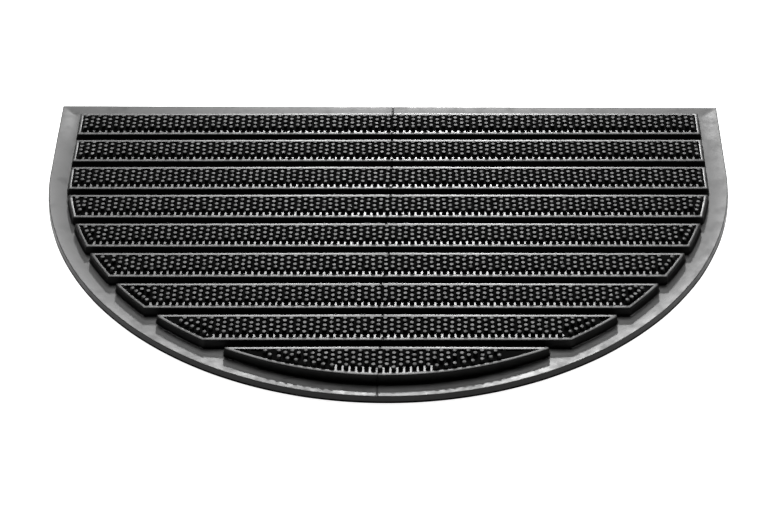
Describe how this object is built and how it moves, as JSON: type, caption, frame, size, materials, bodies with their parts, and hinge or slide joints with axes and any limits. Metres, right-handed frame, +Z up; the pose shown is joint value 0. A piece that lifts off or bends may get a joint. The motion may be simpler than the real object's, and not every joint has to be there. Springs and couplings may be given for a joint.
{
  "type": "scraper mat",
  "caption": "Half-round one-piece rubber doormat: a flat rim around raised bars, with rows of short nubs on each bar that scrape the soles of shoes.",
  "frame": {"origin": "middle of the underside's bounding box, on the floor", "axes": "+X along the straight back edge, +Y toward the straight back edge, +Z up; the half-round edge faces -Y"},
  "size_m": [0.6, 0.4, 0.0171],
  "materials": {
    "black_rubber": "moulded rubber with a satin shine, greyer on the flat rim"
  },
  "bodies": {
    "root": {"mat": "black_rubber"}
  },
  "joints": []
}
